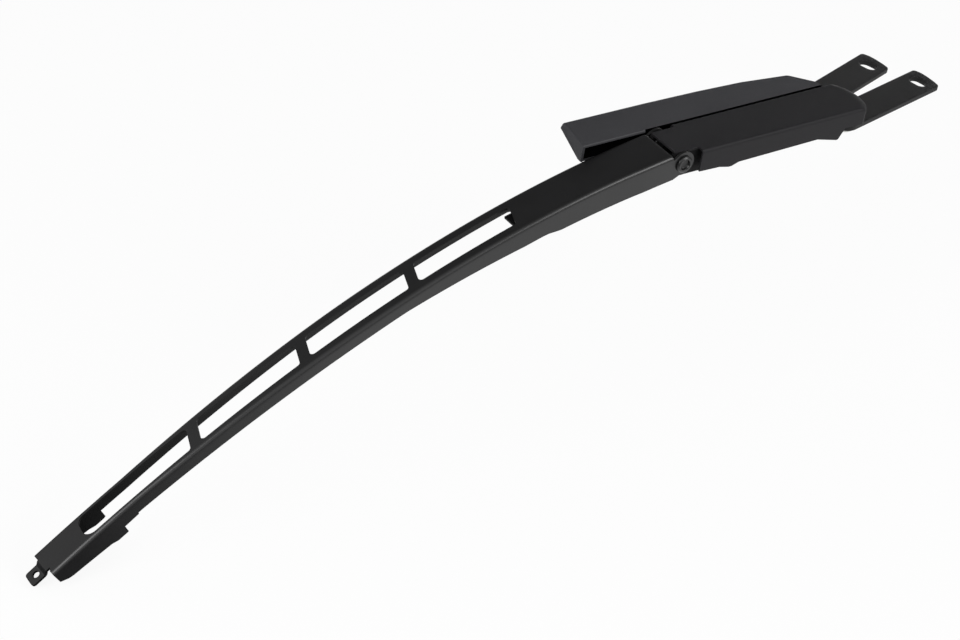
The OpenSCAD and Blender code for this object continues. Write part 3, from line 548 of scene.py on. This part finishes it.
# A lever lies in plan: rays round the pivot's bore, a plain middle, and rays from the
# oblong hole out to the skewed, slightly bowed end.
def makeLever(name, node, own, v=leverValues):
    w, reach = v["width"] / 2, own["length"] + v["end"]
    x1, x2 = v["splits"][0], own["length"] + v["splits"][1]
    across = line((0, -w), (0, w), v["columns"])
    angle = np.radians(np.linspace(90, 270, v["heelArc"] + 1))
    halfRound = w * np.stack([np.cos(angle), np.sin(angle)], -1)
    heel = chain(across + (x1, 0), line((x1, w), (0, w), v["heelSides"]), halfRound,
                 line((0, -w), (x1, -w), v["heelSides"]))

    # Two circles one above the other, joined by flats at both sides: the reach is r / cos on a
    # flat and half * sin + sqrt(r * r - (half * cos) squared) on a circle.
    def oblong(angle, r=v["holeRadius"], half=v["holeHalf"]):
        c, s = np.abs(np.cos(angle)), np.abs(np.sin(angle))
        onCircle = half * s + np.sqrt(r * r - (half * c) ** 2)
        return np.where(r * s <= half * c, r / np.maximum(c, 1e-9), onCircle)

    toeY = (-w, v["toeIn"] - w, v["toeMiddle"], w - v["toeIn"], w)
    corners = [(reach + x, y) for x, y in zip(v["toe"], toeY)]
    toe = chain(across[::-1] + (x2, 0), roundedEnd((x2, -w), corners, (x2, w), v["toeRadii"], v["toeSides"]))
    t = np.linspace(0, 1, v["rows"] + 1)[:, None, None]
    cells = [rayCell(heel, np.zeros(2), v["bore"]), across[None] + (x1, 0) * (1 - t) + (x2, 0) * t,
             rayCell(toe, np.array([own["length"], 0.0]), oblong)]
    turn = np.radians(own["angle"])
    spin = np.array([[np.cos(turn), np.sin(turn)], [-np.sin(turn), np.cos(turn)]])
    grids = []
    for cell in cells:
        plan = cell @ spin + own["pivot"]
        grids.append(np.concatenate([plan, np.full(plan.shape[:2] + (1,), v["top"])], -1))
    sheetPiece(name, grids, node, (0, 0, 1), v["thickness"], v["edge"])


makeLever("frontLever", "front_lever", leverValues["front"])
makeLever("rearLever", "rear_lever", leverValues["rear"])
print("levers made")

frontCoverValues = {
    "top": 7.0, "wall": 1.2, "near": -16.0, "far": 15.0, "length": 145.2, "notch": 12.0, "columnsEnd": 125.0,
    "inset": (1.8, 5.5, 1.3), "drop": 2.4,  # how far the rounded edge draws in on each side, and down
    "foot": -4.1, "flange": (12.8, 140.2, 2.8), "edge": 0.25,
    # the nose's corners, back from its end and in from the near or the far side, and radii
    "noseNear": ((6.4, 0), (1.6, 5.2), (0, 14)), "noseFar": ((1.4, 7), (5.6, 0)),
    "noseRadii": (2.2, 12, 14, 7, 3.5),
    "lowerEdge": ((12, -7.2), (25, -7.7), (27, -7.7), (34.5, -9.4), (37, -9.4), (42, -7.7), (103.05, -6.9),
                  (119.05, -11.0), (120.45, -10.8), (124.45, -4.1), (150, -4.1)),
    "strip": 11.75, "stripStart": -5.2, "spine": -0.5,
    "nearBand": 0.5,  # what stands nearer than this to the near side's line belongs to that side
    "columnCount": 30, "wallRows": 6, "edgeSteps": 8, "topRows": 5, "stripRows": 6, "noseLead": 4,
}


# The front cover's outline in plan, from the hinge end along the near side, round the
# bowed end and back along the far side. inset runs from 0 below the rounded edge to 1 on top.
def coverOutline(columns, inset, v=frontCoverValues):
    side, end, back = [value * inset for value in v["inset"]]
    near, far, tip = v["near"] + side, v["far"] - back, v["length"] - end
    corners = [(tip - x, near + y) for x, y in v["noseNear"]] + [(tip - x, far - y) for x, y in v["noseFar"]]
    nose = roundedEnd((columns[-1], near), corners, (columns[-1], far), v["noseRadii"], v["noseLead"])
    nearSide = np.stack([columns, 0 * columns + near], -1)
    farSide = np.stack([columns, 0 * columns + far], -1)[::-1]
    return chain(nearSide, nose, farSide)


# Rows of the outline: upright walls from the shaped lower edge, a quarter of an ellipse
# round the top, and a flat top drawn in to a spine along the middle. A strip of the top
# goes on towards the hinge past the walls.
def makeFrontCover(v=frontCoverValues):
    knots = [x for x, _ in v["lowerEdge"] if x <= v["columnsEnd"]]
    even = np.linspace(v["notch"], v["columnsEnd"], v["columnCount"])
    columns = np.unique(np.round(np.concatenate([knots, even]), 3))
    base = coverOutline(columns, 0.0)
    shoulder = v["top"] - v["drop"]
    beyondNear = base[:, 1] > v["near"] + v["nearBand"]
    low = np.where(beyondNear, v["foot"], np.interp(base[:, 0], *np.array(v["lowerEdge"]).T))
    wallY, wallX, flange = v["flange"]
    low = np.where((base[:, 1] > wallY) & (base[:, 0] < wallX), flange, low)
    f = np.linspace(0, 1, v["wallRows"])[:, None]
    walls = np.stack([base[:, 0] + 0 * f, base[:, 1] + 0 * f, low + (shoulder - low) * f], -1)
    rows = []
    for t in np.linspace(0, np.pi / 2, v["edgeSteps"] + 1)[1:]:
        level = np.full(len(base), v["top"] - v["drop"] * (1 - np.sin(t)))
        rows.append(np.column_stack([coverOutline(columns, 1 - np.cos(t)), level]))
    rim = rows[-1]
    spine = np.stack([np.minimum(rim[:, 0], v["columnsEnd"]), 0 * rim[:, 0] + v["spine"], rim[:, 2]], -1)
    spine[len(columns):-len(columns), 0] = v["columnsEnd"]
    sides = np.where(rim[:, 1] < v["spine"], rim[0, 1], rim[-1, 1])
    first = (np.sign(sides) * v["strip"] - sides) / (v["spine"] - sides)
    inward = [first + (1 - first) * s for s in np.linspace(0, 1, v["topRows"])]
    steps = np.stack([0 * first] + inward)[..., None]
    top = rim * (1 - steps) + spine * steps
    skin = np.concatenate([walls, rows, top[1:]])
    y = np.concatenate([top[1:, 0, 1], top[1:-1, -1, 1][::-1]])
    x = np.linspace(v["stripStart"], v["notch"], v["stripRows"])[:, None]
    strip = np.stack([x + 0 * y, y + 0 * x, v["top"] + 0 * x * y], -1)
    sheetPiece("frontCover", [skin, strip], "front_cover", (0, 0, 1), v["wall"], v["edge"])


makeFrontCover()
print("front cover made")


# Turned piece on the hinge axis: a profile of (radius, distance from the centre line) with
# rounded corners, carried round, P = (r cos(a), side * distance, -side * r sin(a)).
def turnedPiece(name, profile, node, side, rounding, closed=False, steps=56):
    profile = np.asarray(profile, float)
    before, after = np.roll(profile, 1, 0), np.roll(profile, -1, 0)
    arcs = []
    for i, (one, corner, two) in enumerate(zip(before, profile, after)):
        u, w = (one - corner) / np.linalg.norm(one - corner), (two - corner) / np.linalg.norm(two - corner)
        atEnd = not closed and i in (0, len(profile) - 1)
        if atEnd or u @ w < -0.999:  # an end, or a point in a straight run, has no corner to round
            arcs.append(profile[i:i + 1])
            continue
        room = min(np.linalg.norm(one - corner), np.linalg.norm(two - corner)) * 0.45
        half = np.arccos(np.clip(u @ w, -1, 1)) / 2
        arcs.append(cornerArc(one, corner, two, min(rounding, room * np.tan(half)), 3))
    r, distance = np.concatenate(arcs + ([arcs[0][:1]] if closed else [])).T
    a = np.linspace(0, 2 * np.pi, steps + 1)[:, None]
    grid = np.stack([np.cos(a) * r, side * distance + 0 * a, -side * np.sin(a) * r], -1)
    sheetPiece(name, [grid], node, None)


rivetValues = {
    "shank": 3.0, "head": 5.3, "inner": 8.85, "outer": 14.25, "height": 1.9, "chamfer": 0.9, "rounding": 0.45,
    "tail": (3.7, 4.1), "tailLength": 1.0, "tailStep": 0.5,
    "recess": (3.4, 2.9), "recessFloor": (0.1, -0.2),  # radii at its mouth and floor, and the floor's dish
    "crisp": 0.12,  # points this near to the shank's shoulder keep it from being rounded away
}


# A hinge rivet: a tail wider than the shank, the shank in its bush, and a flat head with a
# recess.
def makeHingeRivet(name, node, side, v=rivetValues):
    y0, y1, r = v["inner"], v["outer"], v["shank"]
    top, tailEnd = y1 + v["height"], y0 - v["tailLength"]
    tail = [(0, tailEnd), (v["tail"][0], tailEnd), (v["tail"][1], y0 - v["tailStep"]), (v["tail"][1], y0)]
    shank = [(r, y0), (r, y1 - v["crisp"]), (r, y1), (r + v["crisp"], y1)]
    head = [(v["head"], y1), (v["head"], top - v["chamfer"]), (v["head"] - v["chamfer"], top)]
    mouth, floor = v["recess"]
    rise, dish = v["recessFloor"]
    recess = [(mouth, top), (floor, y1 + rise), (0, y1 + dish)]
    turnedPiece(name, tail + shank + head + recess, node, side, v["rounding"])


makeHingeRivet("nearHingeRivet", "near_hinge_rivet", -1)
makeHingeRivet("farHingeRivet", "far_hinge_rivet", 1)

bushValues = {
    "bore": 3.05, "flange": 5.5, "outer": 3.95, "inner": (11.95, 12.55), "end": 14.15, "rounding": 0.15,
}


# A bush: a plain sleeve with a flange at its inner end.
def makeHingeBush(name, node, side, v=bushValues):
    profile = [(v["bore"], v["inner"][0]), (v["flange"], v["inner"][0]), (v["flange"], v["inner"][1]),
               (v["outer"], v["inner"][1]), (v["outer"], v["end"]), (v["bore"], v["end"])]
    turnedPiece(name, profile, node, side, v["rounding"], True)


makeHingeBush("nearHingeBush", "near_hinge_bush", -1)
makeHingeBush("farHingeBush", "far_hinge_bush", 1)
print("hinge made")

backCoverValues = {
    "end": -45.4, "outer": -52.0, "inner": -45.0, "wall": 1.7, "near": 15.0, "width": 26.0,
    "low": -4.0, "high": 7.0,
    "lean": 5.2, "floorCut": 17.2, "floorNear": 15.15, "floorEnd": 86.0, "floorTop": -1.5,
    "seamFrom": -6.5, "seam": 0.9, "seamLow": 4.6, "seamSlope": 0.3,
    "corner": 1.5, "cornerFrom": -46.2, "edge": 0.35, "sharp": 28, "flat": 0.6, "slack": 0.1,
    "hollow": (26.0, 2.2), "facing": 0.5, "behind": 2.0, "upright": 0.9,  # tell the inner faces
    "merge": 2e-6, "onPlane": 1e-6, "atSeam": 2e-5,  # in metres
}


# The back cover keeps the solid's own skin with its flat faces joined again. The end over
# the arm is sheared: x moves by the lean, times the height, times the nearness to the arm,
# so that it stands upright beside the arm and slopes at the far edge, with an even wall
# behind it. Beside the front cover the near edge stands back by the seam. The end's
# corners are rounded first, then the sharp edges are eased, all but the seam's.
def makeBackCover(v=backCoverValues):
    work = bmesh.new()
    work.from_mesh(nodes["back_cover"].data)
    bmesh.ops.remove_doubles(work, verts=work.verts, dist=v["merge"])
    bmesh.ops.dissolve_limit(work, angle_limit=np.radians(v["flat"]), verts=work.verts, edges=work.edges)
    for x in (v["seamFrom"], v["seamFrom"] + v["seamSlope"]):
        bmesh.ops.bisect_plane(work, geom=work.verts[:] + work.edges[:] + work.faces[:], dist=v["onPlane"],
                               plane_co=((x + hingePlace[0]) / 1000, 0, 0), plane_no=(1, 0, 0))
    mesh = bpy.data.meshes.new("backCover")
    work.to_mesh(mesh)
    points = np.empty(len(mesh.vertices) * 3, np.float32)
    mesh.vertices.foreach_get("co", points)
    points = points.reshape(-1, 3) * 1000 - hingePlace
    x, y, z = points.T
    height = np.clip((z - v["low"]) / (v["high"] - v["low"]), 0, 1)
    nearness = np.clip(1 - (y - v["near"]) / v["width"], 0, 1)
    innerWall = np.abs(x - v["inner"]) < v["slack"]
    wallX = v["outer"] + v["lean"] * height * (1 - nearness) + v["wall"]
    points[:, 0] = np.where(innerWall, wallX, x - np.where(x < v["end"], v["lean"] * height * nearness, 0))
    cut = (np.abs(y - v["floorCut"]) < v["slack"]) & (z < v["floorTop"]) & (x < v["floorEnd"])
    points[cut, 1] = v["floorNear"]
    seamY = v["near"] + v["seam"]
    seam = (y > v["near"] - v["slack"]) & (y < seamY + v["slack"])
    seam &= (x > v["seamFrom"] + v["slack"]) & (z > v["seamLow"])
    points[seam, 1] = seamY
    mesh.vertices.foreach_set("co", ((points + hingePlace) / 1000).astype(np.float32).ravel())
    work.clear()
    work.from_mesh(mesh)
    limit = (v["cornerFrom"] + hingePlace[0]) / 1000

    # An edge between two faces, bent by more than the sharp angle.
    def isSharp(edge):
        return edge.is_manifold and edge.calc_face_angle(0) > np.radians(v["sharp"])

    corners = [edge for edge in work.edges if isSharp(edge) and max(vert.co.x for vert in edge.verts) < limit]
    bmesh.ops.bevel(work, geom=corners, offset=v["corner"] / 1000, segments=5, profile=0.5, affect="EDGES",
                    clamp_overlap=True)
    seamPlace = (seamY + hingePlace[1]) / 1000
    weight = work.edges.layers.float.new("bevel_weight_edge")
    hollowY, hollowZ = [(value + offset) / 1000 for value, offset in zip(v["hollow"], hingePlace[1:])]
    for edge in work.edges:
        atSeam = all(abs(vert.co.y - seamPlace) < v["atSeam"] for vert in edge.verts)
        edge[weight] = 1.0 if isSharp(edge) and not atSeam else 0.0
    for face in work.faces:  # faces that look into the hollow, at the end's back or into the seam take the coat of painted shade
        face.smooth = True
        middle = face.calc_center_median()
        inward = Vector((0, hollowY - middle.y, hollowZ - middle.z)).dot(face.normal) > v["facing"] / 1000
        towardsEnd = face.normal.x < -v["upright"] and middle.x > limit + v["behind"] / 1000
        behindEnd = face.normal.x > v["upright"] or towardsEnd
        inSeam = face.normal.y < -v["upright"] and abs(middle.y - seamPlace) < v["atSeam"]
        face.material_index = 1 if inward or behindEnd or inSeam else 0
    work.to_mesh(mesh)
    work.free()
    piece = bpy.data.objects.new("backCover", mesh)
    bpy.context.scene.collection.objects.link(piece)
    finishEdges(piece, v["edge"], v["sharp"])
    piece.modifiers["edge"].limit_method = "WEIGHT"
    dressPiece(piece, "back_cover")
    # the second material: the coat that paints the shade inside the hollow and in the seam
    mesh.materials.append(shadeCoats["cover"])


makeBackCover()
print("back cover made")

stageValues = {
    "floor": -0.1715, "size": 14.0, "white": 0.93, "glow": 0.9,
    "darkFrom": -0.57, "darkTo": -0.33, "darkest": 0.04,  # painted shade on the paper by the blade end, seen in reflections
    "sky": 0.5, "darkSide": (0.38, 0.47, 0.8),
    # greys that reflections see: walls by the dot product with darkSide, skyline by height
    "walls": ((0.0, 1.0), (0.4, 0.85), (0.65, 0.55), (0.87, 0.15), (1.0, 0.08)),
    "skyline": ((0.0, 1.0), (0.02, 0.12), (0.16, 0.12), (0.27, 1.0)),
}


# A Math node over two sockets.
def mathNode(tree, operation, first, second):
    node = tree.nodes.new("ShaderNodeMath")
    node.operation = operation
    tree.links.new(first, node.inputs[0])
    tree.links.new(second, node.inputs[1])
    return node.outputs[0]


# Two shaders mixed: first * (1 - share) + second * share.
def mixShaders(tree, share, first, second):
    mix = tree.nodes.new("ShaderNodeMixShader")
    tree.links.new(share, mix.inputs["Fac"])
    tree.links.new(first, mix.inputs[1])
    tree.links.new(second, mix.inputs[2])
    return mix.outputs["Shader"]


# A grey read off a row of (position, grey) stops at the socket's value.
def greyRamp(tree, value, stops):
    ramp = tree.nodes.new("ShaderNodeValToRGB")
    while len(ramp.color_ramp.elements) < len(stops):
        ramp.color_ramp.elements.new(0.5)
    for element, (position, grey) in zip(ramp.color_ramp.elements, stops):
        element.position = position
        element.color = (grey, grey, grey, 1)
    tree.links.new(value, ramp.inputs["Fac"])
    return ramp.outputs["Color"]


# The white paper under the object. Rays of the camera, of gloss and of glass see it glow,
# but beside the blade end a painted shade dims it for gloss: strength = 1 + gloss * (fade(x) - 1).
def makeFloor(values):
    half = values["size"] / 2
    corners = [(-half, -half), (half, -half), (half, half), (-half, half)]
    mesh = bpy.data.meshes.new("floor")
    mesh.from_pydata([(x, y, values["floor"]) for x, y in corners], [], [(0, 1, 2, 3)])
    floor = bpy.data.objects.new("floor", mesh)
    bpy.context.scene.collection.objects.link(floor)
    material, tree, shader = newMaterial("floorPaper")
    shader.inputs["Base Color"].default_value = (values["white"],) * 3 + (1,)
    shader.inputs["Roughness"].default_value = 1
    shader.inputs["Specular IOR Level"].default_value = 0
    coords = tree.nodes.new("ShaderNodeTexCoord")
    split = tree.nodes.new("ShaderNodeSeparateXYZ")
    tree.links.new(coords.outputs["Object"], split.inputs["Vector"])
    fade = tree.nodes.new("ShaderNodeMapRange")
    fade.inputs["From Min"].default_value = values["darkFrom"]
    fade.inputs["From Max"].default_value = values["darkTo"]
    fade.inputs["To Min"].default_value = values["darkest"] - 1
    fade.inputs["To Max"].default_value = 0
    tree.links.new(split.outputs["X"], fade.inputs["Value"])
    path = tree.nodes.new("ShaderNodeLightPath").outputs
    strength = tree.nodes.new("ShaderNodeMath")
    strength.operation = "MULTIPLY_ADD"
    strength.inputs[2].default_value = 1
    tree.links.new(path["Is Glossy Ray"], strength.inputs[0])
    tree.links.new(fade.outputs["Result"], strength.inputs[1])
    glow = tree.nodes.new("ShaderNodeEmission")
    tree.links.new(strength.outputs[0], glow.inputs["Strength"])
    most = mathNode(tree, "MAXIMUM", path["Is Camera Ray"], path["Is Glossy Ray"])
    white = mathNode(tree, "MAXIMUM", most, path["Is Transmission Ray"])
    soft = tree.nodes.new("ShaderNodeMath")
    soft.operation = "MULTIPLY"
    soft.inputs[1].default_value = values["glow"]
    tree.links.new(white, soft.inputs[0])
    paper = mixShaders(tree, soft.outputs[0], shader.outputs["BSDF"], glow.outputs["Emission"])
    tree.links.new(paper, tree.nodes["Material Output"].inputs["Surface"])
    mesh.materials.append(material)


# The studio: plain white behind the object, an even fill, and for reflections white walls
# that fall off towards one dark side, by the dot product of the ray and that direction.
def makeWorld(values):
    world = bpy.data.worlds.new("studio")
    world.use_nodes = True
    bpy.context.scene.world = world
    tree = world.node_tree
    fill = tree.nodes["Background"]
    fill.inputs["Color"].default_value = (1, 1, 1, 1)
    fill.inputs["Strength"].default_value = values["sky"]
    plain = tree.nodes.new("ShaderNodeBackground")
    plain.inputs["Color"].default_value = (1, 1, 1, 1)
    ray = tree.nodes.new("ShaderNodeTexCoord").outputs["Generated"]
    away = tree.nodes.new("ShaderNodeVectorMath")
    away.operation = "DOT_PRODUCT"
    away.inputs[1].default_value = values["darkSide"]
    tree.links.new(ray, away.inputs[0])
    height = tree.nodes.new("ShaderNodeSeparateXYZ")
    tree.links.new(ray, height.inputs[0])
    dim = tree.nodes.new("ShaderNodeVectorMath")
    dim.operation = "MULTIPLY"
    tree.links.new(greyRamp(tree, away.outputs["Value"], values["walls"]), dim.inputs[0])
    tree.links.new(greyRamp(tree, height.outputs["Z"], values["skyline"]), dim.inputs[1])
    walls = tree.nodes.new("ShaderNodeBackground")
    tree.links.new(dim.outputs[0], walls.inputs["Color"])
    path = tree.nodes.new("ShaderNodeLightPath").outputs
    gloss = mixShaders(tree, path["Is Glossy Ray"], fill.outputs[0], walls.outputs[0])
    straight = mathNode(tree, "MAXIMUM", path["Is Camera Ray"], path["Is Transmission Ray"])
    seen = mixShaders(tree, straight, gloss, plain.outputs[0])
    tree.links.new(seen, tree.nodes["World Output"].inputs["Surface"])


lampValues = {
    "keyLamp": {"place": (0.75, -1.35, 1.15), "aim": (-0.2, 0.0, -0.03), "size": (1.1, 0.9), "power": 15},
    "edgeLamp": {"place": (1.6, 1.25, 0.3), "aim": (-0.2, 0.0, 0.0), "size": (1.2, 0.16), "power": 1.6},
    "leftLamp": {"place": (-1.7, -0.4, 0.9), "aim": (-0.3, 0.0, -0.05), "size": (1.0, 0.8), "power": 12},
}


# A soft lamp: a rectangle whose back points away from its aim.
def makeLamp(name, values):
    data = bpy.data.lights.new(name, "AREA")
    data.shape = "RECTANGLE"
    data.size, data.size_y = values["size"]
    data.energy = values["power"]
    lamp = bpy.data.objects.new(name, data)
    lamp.location = values["place"]
    ray = Vector(values["aim"]) - Vector(values["place"])
    lamp.rotation_euler = ray.to_track_quat("-Z", "Y").to_euler()
    bpy.context.scene.collection.objects.link(lamp)


makeFloor(stageValues)
makeWorld(stageValues)
for lampName, values in lampValues.items():
    makeLamp(lampName, values)
print("stage and lights made")
